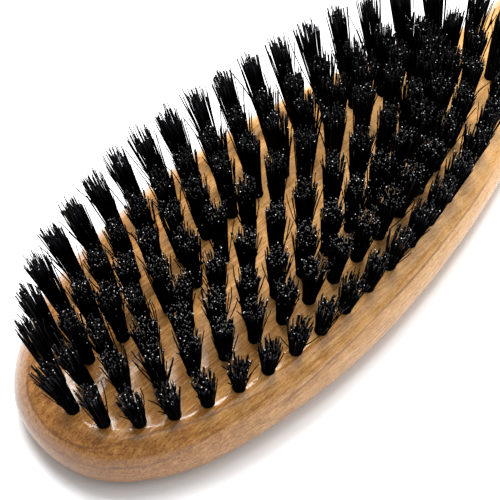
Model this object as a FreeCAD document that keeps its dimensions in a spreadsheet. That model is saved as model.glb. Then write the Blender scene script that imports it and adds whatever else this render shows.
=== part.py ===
import FreeCAD, Part
import math
import os

# Beard brush: a one-piece wooden body (head, neck and handle) drilled with
# four rings of blind holes, a folded bristle tuft in each hole, and a flat
# wire staple holding each tuft. The brush lies on its back. X runs from the
# head end to the handle end, Z is up, z = 0 is the flat of the back and the
# origin is the middle of the footprint. Millimetres. The tufts fan outward: the
# fan values are the lean over the free length per mm from the fan's middle,
# per mm of offset on either side, and toward the head per mm of offset.

DIMENSIONS = [
    ("overall_length", 215.0),
    ("body_thickness", 12.0),
    ("pad_edge_radius", 6.0),
    ("back_edge_radius", 5.5),
    ("hole_diameter", 2.5),
    ("hole_depth", 7.5),
    ("hole_overcut", 3.0),
    ("tuft_shank_diameter", 2.4),
    ("tuft_shank_depth", 7.4),
    ("tuft_top_diameter", 4.4),
    ("tuft_free_length", 17.2),
    ("staple_width", 2.4),
    ("staple_thickness", 0.4),
    ("staple_height", 1.6),
    ("staple_depth", 6.9),
    ("slot_length", 3.5),
    ("slot_clearance", 0.05),
    ("fan_middle_from_head", 71.0),
    ("fan_along", 0.042),
    ("fan_left", 0.21),
    ("fan_right", 0.11),
    ("fan_sweep", 0.075),
]

# Outline of the body: distance from the head end, half width.
OUTLINE = [
    (0.5, 4.7), (2.0, 9.2), (5.0, 13.3), (10.0, 17.45), (18.0, 21.5),
    (28.0, 24.0), (40.0, 25.6), (55.0, 26.0), (70.0, 24.6), (85.0, 21.95),
    (100.0, 18.0), (112.0, 13.4), (122.0, 9.4), (130.0, 10.2),
    (140.0, 11.9), (153.0, 13.1), (168.0, 13.3), (183.0, 12.6),
    (197.0, 11.1), (206.5, 9.1), (212.0, 6.4), (214.5, 2.9),
]

# Rings of tufts, from the outside in. Each is a closed oval: its ends and its
# widest station as distances from the head end, half width, sideways shift,
# roundness (below 1 is boxier than an ellipse) and number of tufts.
RING_COLUMNS = ("head", "neck", "widest", "half_width", "shift", "roundness", "tufts")
RINGS = [
    (6.7, 112.0, 49.0, 19.1, -0.9, 1.01, 39),
    (11.4, 106.4, 55.0, 13.9, -0.3, 1.19, 33),
    (17.6, 100.6, 54.0, 9.0, -0.4, 1.2, 27),
    (26.0, 94.6, 53.0, 3.3, -0.5, 0.72, 20),
]
CURVE_SAMPLES = 1500

doc = FreeCAD.newDocument("beard_brush")
sheet = doc.addObject("Spreadsheet::Sheet", "dims")


def add_cell(row, alias, value):
    sheet.set(f"A{row}", alias)
    sheet.set(f"B{row}", str(value))
    sheet.setAlias(f"B{row}", alias)


row = 1
for alias, value in DIMENSIONS:
    add_cell(row, alias, value)
    row += 1
for i, (along, half) in enumerate(OUTLINE):
    add_cell(row, f"outline_along_{i:02d}", along)
    add_cell(row + 1, f"outline_half_{i:02d}", half)
    row += 2
for ring, values in enumerate(RINGS, 1):
    for column, value in zip(RING_COLUMNS, values):
        add_cell(row, f"ring_{ring}_{column}", value)
        row += 1
doc.recompute()


def dim(alias):
    return float(getattr(sheet, alias))


def bind(obj, **formulas):
    for prop, formula in formulas.items():
        obj.setExpression(prop, formula)


HEAD_END = -dim("overall_length") / 2
PAD_Z = dim("body_thickness")
LEVEL_TOLERANCE = 1e-6

# ---------------------------------------------------------------- wooden body
side = []
for i in range(len(OUTLINE)):
    side.append(FreeCAD.Vector(HEAD_END + dim(f"outline_along_{i:02d}"), dim(f"outline_half_{i:02d}"), 0))
loop = [FreeCAD.Vector(HEAD_END + dim("overall_length"), 0, 0)]
loop += [FreeCAD.Vector(p.x, -p.y, 0) for p in reversed(side)]
loop += [FreeCAD.Vector(HEAD_END, 0, 0)] + side
curve = Part.BSplineCurve()
curve.interpolate(Points=loop, PeriodicFlag=True)

blank = doc.addObject("PartDesign::Body", "body_blank")
sketch = blank.newObject("Sketcher::SketchObject", "outline_sketch")
sketch.addGeometry(curve, False)
doc.recompute()
pad = blank.newObject("PartDesign::Pad", "outline_pad")
pad.Profile = sketch
bind(pad, Length="dims.body_thickness")
doc.recompute()


def rim_edge(shape, level):
    """The name of the closed edge lying at one height."""
    for i, edge in enumerate(shape.Edges, 1):
        if all(abs(p.z - level) < LEVEL_TOLERANCE for p in edge.discretize(5)):
            return f"Edge{i}"


def round_rim(base, name, level, radius_alias):
    fillet = blank.newObject("PartDesign::Fillet", name)
    fillet.Base = (base, [rim_edge(base.Shape, level)])
    bind(fillet, Radius=f"dims.{radius_alias}")
    doc.recompute()
    return fillet


pad_rim = round_rim(pad, "pad_rim", PAD_Z, "pad_edge_radius")
back_rim = round_rim(pad_rim, "back_rim", 0.0, "back_edge_radius")


# ------------------------------------------------------------- tuft positions
def ring_positions(ring):
    """Evenly spaced (along, half width) stations of one oval, head end first."""
    head, neck, widest, half_width, _, roundness, tufts = (
        dim(f"ring_{ring}_{column}") for column in RING_COLUMNS)
    points = []
    for i in range(CURVE_SAMPLES + 1):
        angle = math.pi * i / CURVE_SAMPLES
        reach = widest - head if math.cos(angle) > 0 else neck - widest
        points.append((widest - reach * math.cos(angle), half_width * math.sin(angle) ** roundness))
    run = [0.0]
    for before, after in zip(points, points[1:]):
        run.append(run[-1] + math.dist(before, after))
    pitch = 2 * run[-1] / tufts
    chosen = []
    for step in range(int(tufts) // 2 + 1):
        nearest = min(range(len(run)), key=lambda i: abs(run[i] - step * pitch))
        chosen.append(points[nearest])
    return chosen


# An odd ring closes at the neck end with a pair of tufts, an even one with a single tuft.
groups = {"head_end": [], "neck_end": []}
for ring in range(1, len(RINGS) + 1):
    shift = dim(f"ring_{ring}_shift")
    first, *middle, (last_along, last_half) = ring_positions(ring)
    groups["head_end"].append((first[0], shift))
    groups["neck_end"].append((last_along, shift - last_half))
    if int(dim(f"ring_{ring}_tufts")) % 2:
        groups["neck_end"].append((last_along, shift + last_half))
    groups[f"ring_{ring}_left"] = [(along, shift - half) for along, half in middle]
    groups[f"ring_{ring}_right"] = [(along, shift + half) for along, half in middle]


def tuft_frame(along, offset):
    """Foot of a tuft on the pad and the turn that leans it outward."""
    foot = FreeCAD.Vector(HEAD_END + along, offset, PAD_Z)
    across = dim("fan_left") if offset < 0 else dim("fan_right")
    lean = FreeCAD.Vector(
        (along - dim("fan_middle_from_head")) * dim("fan_along") - abs(offset) * dim("fan_sweep"),
        offset * across,
        dim("tuft_free_length"),
    )
    return foot, FreeCAD.Rotation(FreeCAD.Vector(0, 0, 1), lean)


def place(obj, foot, turn, x=0.0, y=0.0, depth=0.0):
    obj.Placement = FreeCAD.Placement(foot + turn.multVec(FreeCAD.Vector(x, y, -depth)), turn)


def combine(kind, name, members):
    obj = doc.addObject(kind, name)
    if kind == "Part::Compound":
        obj.Links = members
    else:
        obj.Shapes = members
    return obj


# -------------------------------------------------------- tufts, staples, holes
nodes, holes = [], []
for group, spots in groups.items():
    bundles, slots, staples = [], [], []
    for i, (along, offset) in enumerate(spots, 1):
        tag = f"{group}_{i:02d}"
        foot, turn = tuft_frame(along, offset)

        hole = doc.addObject("Part::Cylinder", f"hole_{tag}")
        bind(hole, Radius="dims.hole_diameter / 2", Height="dims.hole_depth + dims.hole_overcut")
        place(hole, foot, turn, depth=dim("hole_depth"))
        holes.append(hole)

        shank = doc.addObject("Part::Cylinder", f"shank_{tag}")
        bind(shank, Radius="dims.tuft_shank_diameter / 2", Height="dims.tuft_shank_depth")
        place(shank, foot, turn, depth=dim("tuft_shank_depth"))
        flare = doc.addObject("Part::Cone", f"flare_{tag}")
        bind(flare, Radius1="dims.tuft_shank_diameter / 2", Radius2="dims.tuft_top_diameter / 2",
             Height="dims.tuft_free_length")
        place(flare, foot, turn)
        bundles += [shank, flare]

        gap = dim("slot_clearance")
        slot = doc.addObject("Part::Box", f"slot_{tag}")
        bind(slot, Length="dims.slot_length", Width="dims.staple_thickness + 2 * dims.slot_clearance",
             Height="dims.staple_height + 2 * dims.slot_clearance")
        place(slot, foot, turn, x=-dim("slot_length") / 2,
              y=-dim("staple_thickness") / 2 - gap, depth=dim("staple_depth") + gap)
        slots.append(slot)

        staple = doc.addObject("Part::Box", f"staple_{tag}")
        bind(staple, Length="dims.staple_width", Width="dims.staple_thickness", Height="dims.staple_height")
        place(staple, foot, turn, x=-dim("staple_width") / 2,
              y=-dim("staple_thickness") / 2, depth=dim("staple_depth"))
        staples.append(staple)

    tufts = doc.addObject("Part::Cut", f"tufts_{group}")
    tufts.Base = combine("Part::MultiFuse", f"bundles_{group}", bundles)
    tufts.Tool = combine("Part::Compound", f"slots_{group}", slots)
    nodes += [tufts, combine("Part::Compound", f"staples_{group}", staples)]

body = doc.addObject("Part::Cut", "wooden_body")
body.Base = blank
body.Tool = combine("Part::Compound", "tuft_holes", holes)
nodes.insert(0, body)

for node in nodes:
    node.Label = node.Name
    node.Placement = FreeCAD.Placement()
doc.recompute()

for obj in doc.Objects:
    if any(state in obj.State for state in ("Invalid", "Error")):
        raise RuntimeError(f"{obj.Name} did not recompute: {obj.State}")
for node in nodes:
    if node.Shape.isNull() or not node.Shape.isValid():
        raise RuntimeError(f"{node.Name} has no valid shape")

os.makedirs("parts", exist_ok=True)
for node in nodes:
    node.Shape.exportStep(f"parts/{node.Name}.step")
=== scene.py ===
import math

import bpy
import numpy as np
from mathutils import Matrix, Vector


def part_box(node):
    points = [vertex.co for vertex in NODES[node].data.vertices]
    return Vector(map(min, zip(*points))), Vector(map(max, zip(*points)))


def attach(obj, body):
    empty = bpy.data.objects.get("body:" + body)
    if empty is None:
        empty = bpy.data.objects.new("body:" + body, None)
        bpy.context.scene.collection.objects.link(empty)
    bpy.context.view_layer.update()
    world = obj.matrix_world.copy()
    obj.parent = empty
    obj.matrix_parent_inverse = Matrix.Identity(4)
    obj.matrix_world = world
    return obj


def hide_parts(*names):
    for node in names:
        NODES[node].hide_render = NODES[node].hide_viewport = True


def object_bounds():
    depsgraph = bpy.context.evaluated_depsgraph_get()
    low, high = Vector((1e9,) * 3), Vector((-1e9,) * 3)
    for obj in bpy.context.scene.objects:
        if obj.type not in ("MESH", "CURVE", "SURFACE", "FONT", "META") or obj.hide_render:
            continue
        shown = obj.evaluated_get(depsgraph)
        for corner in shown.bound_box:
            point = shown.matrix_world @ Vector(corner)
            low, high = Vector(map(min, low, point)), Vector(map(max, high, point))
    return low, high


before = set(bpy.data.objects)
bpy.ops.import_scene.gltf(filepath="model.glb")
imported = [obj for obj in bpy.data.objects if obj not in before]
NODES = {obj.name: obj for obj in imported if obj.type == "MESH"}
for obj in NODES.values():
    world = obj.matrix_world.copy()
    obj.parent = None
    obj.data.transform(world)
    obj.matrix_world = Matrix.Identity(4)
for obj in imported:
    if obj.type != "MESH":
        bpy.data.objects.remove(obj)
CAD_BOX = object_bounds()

MM = 0.001
TUFT_NODES = sorted(name for name in NODES if name.startswith("tufts_"))
STAPLE_NODES = sorted(name for name in NODES if name.startswith("staples_"))
BODY_NODE = "wooden_body"
BODY_LOW, BODY_HIGH = (np.array(corner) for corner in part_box(BODY_NODE))
PAD_Z = BODY_HIGH[2]
HEAD_END = BODY_LOW[0]
BODY_LENGTH = BODY_HIGH[0] - HEAD_END
# middle of the head from its end, and half the head's width
HEAD_HALF_LENGTH = 52 * MM
HEAD_HALF_WIDTH = 26 * MM
SCENE = bpy.context.scene


# ------------------------------------------------------------------ node tools
class Tree:
    """A material's node tree with short calls for making and joining nodes."""

    def __init__(self, name):
        self.material = bpy.data.materials.new(name)
        self.material.use_nodes = True
        self.tree = self.material.node_tree
        self.tree.nodes.clear()
        self.output = self.add("ShaderNodeOutputMaterial")
        self.shader = self.add("ShaderNodeBsdfPrincipled")
        self.link(self.shader.outputs[0], self.output.inputs["Surface"])

    def add(self, kind, **settings):
        node = self.tree.nodes.new(kind)
        for key, value in settings.items():
            setattr(node, key, value)
        return node

    def link(self, source, target):
        self.tree.links.new(source, target)

    def put(self, socket, value):
        if isinstance(value, bpy.types.NodeSocket):
            self.link(value, socket)
        elif value is not None:
            socket.default_value = value

    def set(self, **values):
        for key, value in values.items():
            self.put(self.shader.inputs[key.replace("_", " ")], value)

    def math(self, operation, a, b=None, c=None, clamp=False):
        node = self.add("ShaderNodeMath", operation=operation, use_clamp=clamp)
        for socket, value in zip(node.inputs, (a, b, c)):
            self.put(socket, value)
        return node.outputs[0]

    def plus(self, a, b):
        return self.math("ADD", a, b)

    def minus(self, a, b, clamp=False):
        return self.math("SUBTRACT", a, b, clamp=clamp)

    def times(self, a, b):
        return self.math("MULTIPLY", a, b)

    def over(self, a, b, clamp=False):
        return self.math("DIVIDE", a, b, clamp=clamp)

    def position(self):
        return self.add("ShaderNodeTexCoord").outputs["Object"]

    def geometry(self, output):
        return self.add("ShaderNodeNewGeometry").outputs[output]

    def split(self, vector):
        node = self.add("ShaderNodeSeparateXYZ")
        self.link(vector, node.inputs[0])
        return node.outputs

    def noise(self, cells, detail, roughness=0.5, distortion=0.0, turn=0.0):
        """Noise with so many cells per metre along x, y and z, turned about z."""
        place = self.add("ShaderNodeMapping")
        self.link(self.position(), place.inputs["Vector"])
        place.inputs["Scale"].default_value = cells
        place.inputs["Rotation"].default_value = (0, 0, turn)
        node = self.add("ShaderNodeTexNoise")
        self.link(place.outputs[0], node.inputs["Vector"])
        node.inputs["Scale"].default_value = 1.0
        node.inputs["Detail"].default_value = detail
        node.inputs["Roughness"].default_value = roughness
        node.inputs["Distortion"].default_value = distortion
        return node.outputs["Fac"]

    def ramp(self, factor, stops):
        node = self.add("ShaderNodeValToRGB")
        elements = node.color_ramp.elements
        while len(elements) < len(stops):
            elements.new(0.5)
        for element, (place, value) in zip(elements, stops):
            element.position = place
            element.color = (*value, 1) if isinstance(value, tuple) else (value, value, value, 1)
        self.put(node.inputs["Fac"], factor)
        return node.outputs["Color"]

    def mix(self, factor, color, other):
        """A share of another, fixed colour mixed into a colour."""
        node = self.add("ShaderNodeMix", data_type="RGBA")
        self.put(node.inputs["Factor"], factor)
        self.put(node.inputs[6], color)
        self.put(node.inputs[7], (*other, 1))
        return node.outputs[2]

    def bump(self, height, strength, distance, normal=None):
        node = self.add("ShaderNodeBump")
        node.inputs["Strength"].default_value = strength
        node.inputs["Distance"].default_value = distance
        self.put(node.inputs["Height"], height)
        if normal is not None:
            self.put(node.inputs["Normal"], normal)
        return node.outputs["Normal"]


def srgb(*display):
    """Red, green and blue given as 0 to 255 display values, as linear light."""
    shares = (value / 255 for value in display)
    return tuple(c / 12.92 if c <= 0.04045 else ((c + 0.055) / 1.055) ** 2.4 for c in shares)


# ------------------------------------------------------------------- materials
# patterns of the wood, as noise cells per metre along x, y and z
STREAKS = (65, 1500, 1500)
FIBRES = (380, 4200, 4200)
SPECKS = (1800, 5200, 5200)
PATCHES = (24, 90, 110)
FIGURE = (520, 150, 200)
FIGURE_TURN = 0.6
WANDER = (16, 60, 60)
UNEVEN = (40, 200, 200)
LACQUER = (1800, 3600, 3600)
LAYERS_PER_METRE = 900.0
LAYER_TILT = 0.012
LAYER_WANDER = 3.6 * MM
# how much paler the colour is made towards the neck, at shares of the body's length
PALER = [(0.0, 0.0), (0.47, 0.17), (0.72, 0.06)]
END_GRAIN_SHARE = 0.45

# three growth lines in the body, as (mm from the head end, mm above the back)
UPPER_LINE = ((0, 9.7), (4, 10.8), (9, 11.7), (14, 11.9), (26, 11.7), (40, 11.0))
LOWER_LINE = ((0, 8.0), (10, 8.6), (20, 10.2), (30, 10.7))
LONG_LINE = ((30, 8.5), (45, 9.6), (57, 10.1), (80, 9.7), (100, 9.3))
LINE_SPAN = 100 * MM
LINE_TOP = 12 * MM
LINE_WIDTH = 0.07 * MM
LINE_WIDTH_ON_SLOPES = 0.45 * MM

# the flat share of the pad and how fast it rounds off beyond that
FLAT_SHARE = 0.79
CROWN = 22 * MM

# patterns of the bristles, their cut ends and the wire, in the same unit
MOTTLE = (900, 900, 260)
CUT_SPECKS = (9000, 9000, 9000)
DRAW_MARKS = (400, 6000, 6000)
# makes a bristle's random number into a second one for its cut end
SHUFFLE = 37.0


def wood_tone(tree, x, z):
    """Lightness of the wood: streaks, fibres, patches, figure and faint growth layers."""
    streaks = tree.noise(STREAKS, 3.0, 0.65)
    fibres = tree.noise(FIBRES, 2.0, 0.7)
    specks = tree.noise(SPECKS, 1.0)
    patches = tree.noise(PATCHES, 2.0)
    figure = tree.noise(FIGURE, 2.0, distortion=0.4, turn=FIGURE_TURN)
    tone = tree.times(streaks, 0.30)
    for share, layer in ((0.32, fibres), (0.20, specks), (0.08, patches), (0.10, figure)):
        tone = tree.plus(tone, tree.times(layer, share))

    # growth layers, nearly parallel to the pad and gently wandering
    offset = tree.plus(tree.times(x, LAYER_TILT), tree.times(tree.noise(WANDER, 2.0), LAYER_WANDER))
    layers = tree.math("FRACT", tree.times(tree.plus(z, offset), LAYERS_PER_METRE))
    layer_tone = tree.ramp(layers, [(0.0, 0.45), (0.12, 0.8), (0.6, 0.9), (0.88, 0.35), (0.95, 0.1),
                                    (1.0, 0.45)])
    uneven = tree.ramp(tree.noise(UNEVEN, 1.0), [(0.40, 0.0), (0.62, 0.07)])
    tone = tree.plus(tone, tree.times(tree.minus(layer_tone, 0.7), uneven))

    # palest near the neck, and a little less so along the handle
    along = tree.over(tree.minus(x, HEAD_END), BODY_LENGTH)
    return tree.plus(tone, tree.ramp(along, PALER)), streaks, fibres


def growth_line(tree, along, z, width, stops, strength):
    """A dark line where the surface crosses one wandering layer of the wood."""
    level = tree.ramp(along, [(reach * MM / LINE_SPAN, height * MM / LINE_TOP) for reach, height in stops])
    gap = tree.math("ABSOLUTE", tree.minus(z, tree.times(level, LINE_TOP)))
    near = tree.minus(1.0, tree.over(gap, width), clamp=True)
    return tree.times(tree.math("SMOOTH_MIN", near, 1.0, 0.2), strength)


def growth_lines(tree, x, z, upward, streaks):
    """The three clear growth lines, broken up by the streaks."""
    along = tree.over(tree.minus(x, HEAD_END), LINE_SPAN, clamp=True)
    slope = tree.minus(1.0, upward)
    width = tree.plus(LINE_WIDTH, tree.times(slope, LINE_WIDTH_ON_SLOPES))
    head_part = tree.ramp(along, [(0.30, 1.0), (0.36, 0.0)])
    neck_part = tree.ramp(along, [(0.33, 0.0), (0.38, 1.0), (0.90, 1.0), (1.0, 0.0)])
    lines = 0.0
    for stops, strength, part in (
        (UPPER_LINE, 0.78, head_part),
        (LOWER_LINE, 0.58, head_part),
        (LONG_LINE, 0.88, neck_part),
    ):
        line = tree.times(growth_line(tree, along, z, width, stops, strength), part)
        lines = tree.math("MAXIMUM", lines, line)
    return tree.times(lines, tree.ramp(streaks, [(0.30, 1.0), (0.70, 0.55)]))


def pad_crown(tree, x, y):
    """Normal of a pad that rounds off a little before its edge."""
    across = tree.over(y, HEAD_HALF_WIDTH)
    reach = tree.over(tree.minus(x, HEAD_END + HEAD_HALF_LENGTH), HEAD_HALF_LENGTH)
    reach = tree.math("MINIMUM", reach, 0.0)
    distance = tree.math("SQRT", tree.plus(tree.times(across, across), tree.times(reach, reach)))
    outside = tree.math("MAXIMUM", tree.minus(distance, FLAT_SHARE), 0.0)
    return tree.bump(tree.times(tree.times(outside, outside), -CROWN), 1.0, 1.0)


def wood_material():
    tree = Tree("lacquered_wood")
    x, y, z = tree.split(tree.position())
    lengthwise, _, upward = tree.split(tree.geometry("Normal"))

    tone, streaks, fibres = wood_tone(tree, x, z)
    color = tree.ramp(tone, [(0.40, srgb(104, 58, 18)), (0.46, srgb(138, 85, 28)),
                             (0.51, srgb(158, 104, 41)), (0.57, srgb(180, 127, 64)),
                             (0.68, srgb(212, 163, 104))])
    # end grain is darker where the body faces the head end
    end_facing = tree.math("MAXIMUM", tree.times(lengthwise, -1.0), 0.0)
    color = tree.mix(tree.times(end_facing, END_GRAIN_SHARE), color, srgb(100, 56, 16))
    color = tree.mix(growth_lines(tree, x, z, upward, streaks), color, srgb(84, 44, 14))

    crown = pad_crown(tree, x, y)
    lacquer = tree.noise(LACQUER, 2.0, 0.6)
    tree.set(Base_Color=color, Roughness=0.5, Specular_IOR_Level=0.12)
    tree.set(Coat_Weight=0.8, Coat_Roughness=0.09, Coat_IOR=1.5)
    tree.set(Normal=tree.bump(fibres, 0.25, 0.03 * MM, crown))
    tree.set(Coat_Normal=tree.bump(lacquer, 0.5, 0.03 * MM, crown))
    return tree.material


def bristle_material():
    tree = Tree("black_bristle")
    island = tree.geometry("Random Per Island")
    color = tree.ramp(island, [(0.0, srgb(24, 24, 28)), (0.80, srgb(48, 48, 53)),
                               (0.96, srgb(66, 61, 58)), (1.0, srgb(96, 78, 62))])
    mottle = tree.noise(MOTTLE, 2.0)
    color = tree.mix(tree.times(mottle, 0.6), color, srgb(8, 8, 9))
    # a dark mirror with no bright rim: the sheen stays on the side that faces the lamps
    tree.set(Base_Color=color, Metallic=1.0, Specular_Tint=(0, 0, 0, 1))
    tree.set(Roughness=tree.plus(tree.times(mottle, 0.3), 0.22))
    tree.set(Normal=tree.bump(mottle, 0.2, 0.02 * MM))
    return tree.material


def cut_end_and_glint_material():
    tree = Tree("bristle_cut_end")
    island = tree.geometry("Random Per Island")
    fraction = tree.math("FRACT", tree.times(island, SHUFFLE))
    # most cut ends are near black; the palest few are painted glints, bright specks standing in for the
    # lamps catching those cut ends
    color = tree.ramp(fraction, [(0.0, srgb(5, 5, 6)), (0.72, srgb(14, 14, 15)), (0.88, srgb(70, 68, 68)),
                                 (0.94, srgb(150, 148, 148)), (1.0, srgb(225, 223, 220))])
    color = tree.mix(tree.times(tree.noise(CUT_SPECKS, 2.0), 0.3), color, srgb(30, 29, 30))
    tree.set(Base_Color=color, Roughness=0.35, Specular_IOR_Level=0.15)
    return tree.material


def staple_material():
    tree = Tree("staple_wire")
    drawn = tree.noise(DRAW_MARKS, 2.0)
    color = tree.ramp(drawn, [(0.3, srgb(120, 118, 114)), (0.7, srgb(176, 174, 168))])
    tree.set(Base_Color=color, Metallic=1.0, Roughness=tree.plus(tree.times(drawn, 0.2), 0.25))
    tree.set(Normal=tree.bump(drawn, 0.2, 0.01 * MM))
    return tree.material


WOOD = wood_material()
BRISTLE = bristle_material()
CUT_END = cut_end_and_glint_material()
STEEL = staple_material()


def dress(node, material):
    for entry in NODES[node].material_slots:
        entry.material = material


dress(BODY_NODE, WOOD)
for name in STAPLE_NODES:
    dress(name, STEEL)


# ------------------------------------------------------------ tufts of bristles
# corners that fall on the same micrometre are one corner
STEPS_PER_METRE = 1e6
# how near to its end a vertex of a tuft counts as part of that end
END_DEPTH = 0.2 * MM


def solids_of(node):
    """Vertices of each separate solid in a CAD node, found by shared corners."""
    mesh = NODES[node].data
    places = np.empty(len(mesh.vertices) * 3)
    mesh.vertices.foreach_get("co", places)
    places = places.reshape(-1, 3)
    keys = np.round(places * STEPS_PER_METRE).astype(np.int64)
    _, merged = np.unique(keys, axis=0, return_inverse=True)
    merged = merged.ravel()
    parent = np.arange(merged.max() + 1)

    def root(i):
        while parent[i] != i:
            parent[i] = parent[parent[i]]
            i = parent[i]
        return i

    edges = np.empty(len(mesh.edges) * 2, dtype=np.int64)
    mesh.edges.foreach_get("vertices", edges)
    for start, end in merged[edges].reshape(-1, 2):
        parent[root(end)] = root(start)
    labels = np.array([root(i) for i in range(len(parent))])[merged]
    return [places[labels == label] for label in np.unique(labels)]


def tuft_axis(points):
    """Foot on the pad and tip centre of a tuft, from its solid's two ends."""
    centre = points.mean(axis=0)
    axis = np.linalg.svd(points - centre, full_matrices=False)[2][0]
    axis *= np.sign(axis[2])
    along = (points - centre) @ axis
    ends = [points[np.abs(along - limit) < END_DEPTH].mean(axis=0) for limit in (along.min(), along.max())]
    axis = ends[1] - ends[0]
    axis /= np.linalg.norm(axis)
    foot = ends[0] + axis * ((PAD_Z - ends[0][2]) / axis[2])
    return foot, ends[1]


SIDES = 5
BRISTLES = 88
BUNDLE_RADIUS = 1.12 * MM
TOP_RADIUS = 2.15 * MM
TOP_RADIUS_RANGE = (0.86, 1.14)
BRISTLE_RADIUS = 0.125 * MM
BRISTLE_RADIUS_RANGE = (0.78, 1.15)
ROOT_DEPTH = 1.2 * MM
GOLDEN_ANGLE = 2.39996
FIRST_SEED = 100

# how far bristles stray from an even fan, each as one standard deviation
SWIRL = 0.12
TURN_JITTER = 0.15
SPLAY_JITTER = 0.11
LENGTH_JITTER = 0.040
DRIFT = 0.26 * MM
CURL = 0.10 * MM
STRAY_CURL = 0.35 * MM
STRAY_HOOK = 0.8 * MM
# shares of the bristles that are short or stray, and the ranges that multiply their length or splay
SHORT_SHARE = 0.15
SHORT_LENGTH = (0.82, 0.97)
STRAY_SHARE = 0.05
STRAY_LENGTH = (0.66, 0.96)
STRAY_SPLAY = (1.25, 2.0)
# shares of the length lost by every bristle, and more by those at a tuft's edge
LENGTH_LOSS = 0.005
EDGE_LOSS = 0.03
# powers of the share of a bristle's length: the higher, the later its flare, drift or hook sets in
FLARE_POWER = 1.12
DRIFT_POWER = 1.5
HOOK_POWER = 4

# the centre lines of bristles are held within this much room beyond the CAD box
ROOM_ABOVE = 0.75 * MM
ROOM_BESIDE = 1.3 * MM
CEILING = CAD_BOX[1][2] + ROOM_ABOVE
SIDE_LIMITS = (CAD_BOX[0][1] - ROOM_BESIDE, CAD_BOX[1][1] + ROOM_BESIDE)
# the photograph's outer rows splay further than the one fan rule of the CAD: mm added at the tip
OUTER_LEAN = {
    "tufts_ring_1_right": (0.7, 3.2, 0.6),
    "tufts_ring_1_left": (-0.5, 0.0, 0.0),
    "tufts_head_end": (-1.3, 0.8, 0.2),
}
# stations along a bristle above the pad, and its thickness at the root and at each of them
STATIONS = np.array([0.0, 0.22, 0.48, 0.75, 1.0])
TAPER = np.array([1.0, 1.0, 0.98, 0.94, 0.88, 0.76])
SIDE_FACE = 0
CUT_FACE = 1


def bristle_line(rng, index, foot, tuft, top_radius, swirl):
    """Centre line of one bristle; tuft is the axis, its length and two cross directions."""
    axis, length, side, other = tuft
    spread = math.sqrt((index + 0.5) / BRISTLES)
    turn = index * GOLDEN_ANGLE + rng.normal(0, TURN_JITTER)
    root = BUNDLE_RADIUS * spread
    splay = top_radius * spread * rng.normal(1.0, SPLAY_JITTER)
    drift = rng.normal(0, DRIFT, 2)
    curl = rng.normal(0, CURL, 2)
    hook = np.zeros(2)
    reach = length * (1.0 + rng.normal(-LENGTH_LOSS, LENGTH_JITTER) - EDGE_LOSS * spread ** 2)
    if rng.random() < SHORT_SHARE:
        reach *= rng.uniform(*SHORT_LENGTH)
    if rng.random() < STRAY_SHARE:
        splay = top_radius * rng.uniform(*STRAY_SPLAY)
        curl = rng.normal(0, STRAY_CURL, 2)
        hook = rng.normal(0, STRAY_HOOK, 2)
        reach *= rng.uniform(*STRAY_LENGTH)
    reach = min(reach, (CEILING - foot[2]) / axis[2])

    heights = np.concatenate(([-ROOT_DEPTH], STATIONS * reach))
    share = np.clip(heights / length, 0, None)
    flare = root + (splay - root) * share ** FLARE_POWER
    angle = turn + swirl * share
    bow = np.sin(share * math.pi)
    drifted = share ** DRIFT_POWER
    hooked = share ** HOOK_POWER
    side_offset = flare * np.cos(angle) + drift[0] * drifted + curl[0] * bow + hook[0] * hooked
    other_offset = flare * np.sin(angle) + drift[1] * drifted + curl[1] * bow + hook[1] * hooked
    line = foot + np.outer(heights, axis) + np.outer(side_offset, side) + np.outer(other_offset, other)
    line[:, 1] = np.clip(line[:, 1], *SIDE_LIMITS)
    line[:, 2] = np.minimum(line[:, 2], CEILING)
    return line


def tuft_curves(rng, foot, tip, lean):
    """Centre lines and radii of the bristles in one tuft, its tip pushed over by lean."""
    axis = tip + lean - foot
    length = np.linalg.norm(axis)
    axis = axis / length
    side = np.cross(axis, (0.0, 1.0, 0.0))
    side /= np.linalg.norm(side)
    other = np.cross(axis, side)
    top_radius = TOP_RADIUS * rng.uniform(*TOP_RADIUS_RANGE)
    swirl = rng.normal(0, SWIRL)
    curves = []
    for index in range(BRISTLES):
        line = bristle_line(rng, index, foot, (axis, length, side, other), top_radius, swirl)
        radii = BRISTLE_RADIUS * rng.uniform(*BRISTLE_RADIUS_RANGE) * TAPER
        curves.append((line, radii, side, other))
    return curves


def bristle_mesh(name, curves):
    """One mesh holding every bristle as a thin closed tube with a cut end."""
    turns = np.arange(SIDES) * 2 * math.pi / SIDES
    places, faces, kinds = [], [], []
    base = 0
    for line, radii, side, other in curves:
        circle = np.outer(np.cos(turns), side) + np.outer(np.sin(turns), other)
        places.append((line[:, None, :] + radii[:, None, None] * circle[None]).reshape(-1, 3))
        top = base + (len(line) - 1) * SIDES
        for low in range(base, top, SIDES):
            high = low + SIDES
            for corner in range(SIDES):
                following = (corner + 1) % SIDES
                faces.append((low + corner, low + following, high + following, high + corner))
                kinds.append(SIDE_FACE)
        faces.append(tuple(base + corner for corner in reversed(range(SIDES))))
        faces.append(tuple(top + corner for corner in range(SIDES)))
        kinds += [SIDE_FACE, CUT_FACE]
        base = top + SIDES
    mesh = bpy.data.meshes.new(name)
    mesh.from_pydata(np.concatenate(places).tolist(), [], faces)
    mesh.materials.append(BRISTLE)
    mesh.materials.append(CUT_END)
    mesh.polygons.foreach_set("material_index", kinds)
    mesh.polygons.foreach_set("use_smooth", [kind == SIDE_FACE for kind in kinds])
    mesh.update()
    return mesh


for index, node in enumerate(TUFT_NODES):
    rng = np.random.default_rng(FIRST_SEED + index)
    lean = np.array(OUTER_LEAN.get(node, (0, 0, 0))) * MM
    curves = []
    for points in solids_of(node):
        curves += tuft_curves(rng, *tuft_axis(points), lean)
    piece = bpy.data.objects.new(node.replace("tufts", "bristles"), bristle_mesh(node, curves))
    SCENE.collection.objects.link(piece)
    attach(piece, "root")
    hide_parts(node)

# ---------------------------------------------------------- floor, light, camera
FLOOR_SIZE = 6.0
PAPER = (6, 6, 6)
WORLD_COLOR = (0.96, 0.98, 1.0, 1)
WORLD_STRENGTH = 0.47

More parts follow.
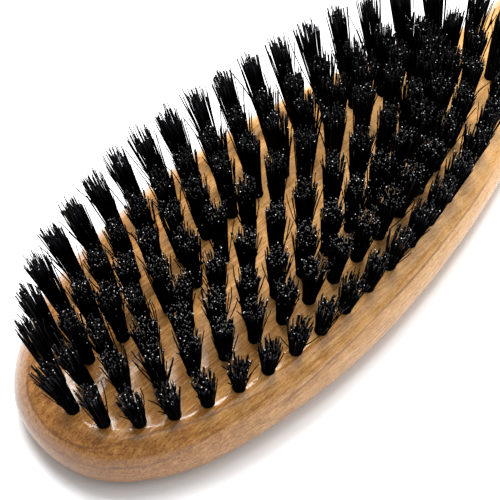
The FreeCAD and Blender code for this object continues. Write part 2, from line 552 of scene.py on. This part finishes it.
bpy.ops.mesh.primitive_plane_add(size=FLOOR_SIZE, location=(0, 0, BODY_LOW[2]))
floor = bpy.context.object
floor.name = "studio_floor"
ground = Tree("studio_floor")
paper_color = ground.ramp(ground.noise(PAPER, 2.0), [(0.0, (0.86, 0.87, 0.88)), (1.0, (0.89, 0.90, 0.91))])
ground.set(Base_Color=paper_color, Roughness=0.9)
floor.data.materials.append(ground.material)

world = bpy.data.worlds.new("studio")
SCENE.world = world
world.use_nodes = True
background = world.node_tree.nodes["Background"]
background.inputs["Color"].default_value = WORLD_COLOR
background.inputs["Strength"].default_value = WORLD_STRENGTH
SCENE.view_settings.view_transform = "Standard"

HEAD_MIDDLE = Vector((HEAD_END + HEAD_HALF_LENGTH, 0, PAD_Z))


def softbox(name, direction, distance, width, height, power, spin=0.0):
    """A rectangular lamp (metres, watts) facing the head, spun in degrees about its direction."""
    light = bpy.data.lights.new(name, "AREA")
    light.shape = "RECTANGLE"
    light.size = width
    light.size_y = height
    light.energy = power
    lamp = bpy.data.objects.new(name, light)
    away = Vector(direction).normalized()
    lamp.location = HEAD_MIDDLE + away * distance
    facing = away.to_track_quat("Z", "Y").to_matrix()
    lamp.rotation_euler = (facing @ Matrix.Rotation(math.radians(spin), 3, "Z")).to_euler()
    SCENE.collection.objects.link(lamp)


softbox("strip", (0.19, 0.21, 0.95), distance=0.9, width=0.62, height=0.34, power=15.0, spin=-6)
softbox("overhead", (0.00, -0.10, 0.99), distance=1.1, width=0.90, height=0.90, power=2.6)
softbox("side", (0.50, -0.48, 0.72), distance=1.2, width=0.90, height=0.90, power=3.0)

# the view: direction looked along, steepness and roll in degrees
VIEW_TURN = 44.54
VIEW_DROP = 56.92
VIEW_ROLL = -0.44
VIEW_DISTANCE = 346.1 * MM
VIEW_TARGET = Vector((HEAD_END + 50.88 * MM, 0.58 * MM, PAD_Z))
LENS_MM = 138.75
SENSOR_MM = 36.0
CLIP_START = 10 * MM

turn, drop, roll = (math.radians(a) for a in (VIEW_TURN, VIEW_DROP, VIEW_ROLL))
ahead = Vector((math.sin(turn) * math.cos(drop), math.cos(turn) * math.cos(drop), -math.sin(drop)))
right = Vector((math.cos(turn), -math.sin(turn), 0))
up = right.cross(ahead)
rolled_right = right * math.cos(roll) + up * math.sin(roll)
rolled_up = up * math.cos(roll) - right * math.sin(roll)
camera = bpy.data.objects.new("camera", bpy.data.cameras.new("camera"))
camera.data.lens = LENS_MM
camera.data.sensor_width = SENSOR_MM
camera.data.clip_start = CLIP_START
pose = Matrix((rolled_right, rolled_up, -ahead)).transposed().to_4x4()
pose.translation = VIEW_TARGET - ahead * VIEW_DISTANCE
camera.matrix_world = pose
SCENE.collection.objects.link(camera)
SCENE.camera = camera
